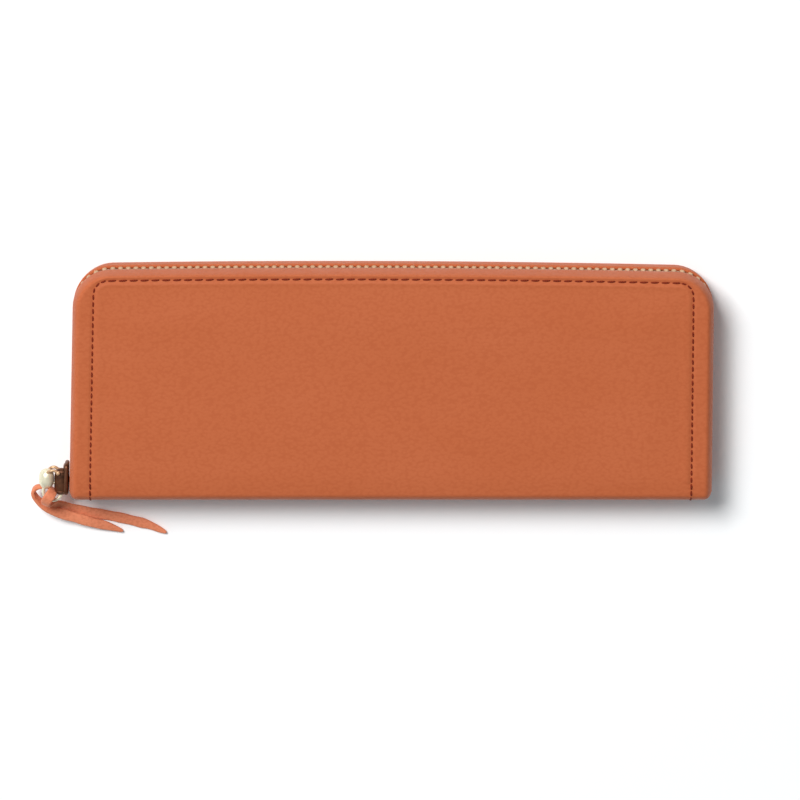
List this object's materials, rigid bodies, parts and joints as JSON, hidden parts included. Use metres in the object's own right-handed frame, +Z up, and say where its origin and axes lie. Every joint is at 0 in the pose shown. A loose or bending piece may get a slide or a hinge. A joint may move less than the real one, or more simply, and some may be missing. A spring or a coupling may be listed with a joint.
{
  "type": "zip around wallet",
  "caption": "Long zip around wallet in leather with a zipped coin pocket, bill compartments, card slots and a ringed pull with a thong.",
  "frame": {"origin": "centre of the flat face of the back cover, which the closed wallet rests on", "axes": "+X along the wallet's length, +Y from the folded spine to the long run of the zip, +Z up through the thickness"},
  "size_m": [0.221, 0.0916, 0.023],
  "materials": {
    "cover_leather": "satin pebbled",
    "card_leather": "satin",
    "thong_leather": "satin",
    "seam_thread": "waxed",
    "lining": "woven",
    "board": "matt",
    "zip_tape": "woven",
    "zip_metal": "polished",
    "slider_metal": "antique",
    "pull_metal": "pale polished"
  },
  "bodies": {
    "root": {"back_cover": "cover_leather", "back_seam_thread": "seam_thread", "back_board": "board", "back_lining": "lining", "back_card_tier_1": "card_leather", "back_card_tier_2": "card_leather", "back_card_tier_3": "card_leather", "zip_tape_back": "zip_tape", "zip_teeth_back": "zip_metal", "zip_top_stop_back": "zip_metal", "zip_bottom_stop": "zip_metal", "gusset_left_back": "lining", "gusset_right_back": "lining"},
    "front": {"front_cover": "cover_leather", "front_seam_thread": "seam_thread", "front_board": "board", "front_lining": "lining", "front_card_tier_1": "card_leather", "front_card_tier_2": "card_leather", "front_card_tier_3": "card_leather", "zip_tape_front": "zip_tape", "zip_teeth_front": "zip_metal", "zip_top_stop_front": "zip_metal"},
    "coin_pocket": {"coin_wall_front": "lining", "coin_wall_back": "lining", "coin_gusset": "lining", "coin_tape_front": "zip_tape", "coin_tape_back": "zip_tape", "coin_teeth_front": "zip_metal", "coin_teeth_back": "zip_metal", "gusset_left_front": "lining", "gusset_right_front": "lining"},
    "coin_zip_slider": {"coin_slider": "zip_metal"},
    "coin_zip_pull": {"coin_pull": "zip_metal"},
    "slider": {"slider_body": "slider_metal"},
    "pull": {"puller": "pull_metal"},
    "thong": {"pull_thong": "thong_leather"}
  },
  "joints": [
    {"name": "cover_open", "type": "hinge", "parent": "root", "child": "front", "pos_m": [0, -0.03825, 0.0115], "axis": [1, 0, 0], "range_deg": [0, 70]},
    {"name": "coin_pocket_fan", "type": "hinge", "parent": "root", "child": "coin_pocket", "pos_m": [0, -0.03825, 0.0115], "axis": [1, 0, 0], "range_deg": [0, 35]},
    {"name": "coin_zip_travel", "type": "slide", "parent": "coin_pocket", "child": "coin_zip_slider", "axis": [1, 0, 0], "range_m": [0, 0.16]},
    {"name": "coin_pull_swing", "type": "hinge", "parent": "coin_zip_slider", "child": "coin_zip_pull", "pos_m": [-0.0808, 0.0312, 0.0115], "axis": [0, 0, 1], "range_deg": [0, 8]},
    {"name": "zip_travel", "type": "slide", "parent": "root", "child": "slider", "axis": [0.0289, 0.9996, 0], "range_m": [0, 0.045]},
    {"name": "puller_swing", "type": "hinge", "parent": "slider", "child": "pull", "pos_m": [-0.10756, -0.0298, 0.0115], "axis": [0, 0, -1], "range_deg": [0, 100]},
    {"name": "thong_swing", "type": "hinge", "parent": "pull", "child": "thong", "pos_m": [-0.10955, -0.0364, 0.0115], "axis": [0, 0, -1], "range_deg": [0, 30]}
  ],
  "couplings": [
    {"joint": "coin_pocket_fan", "follows": "cover_open", "ratio": 0.5},
    {"joint": "puller_swing", "follows": "zip_travel", "rad_per_m": 38.8}
  ]
}
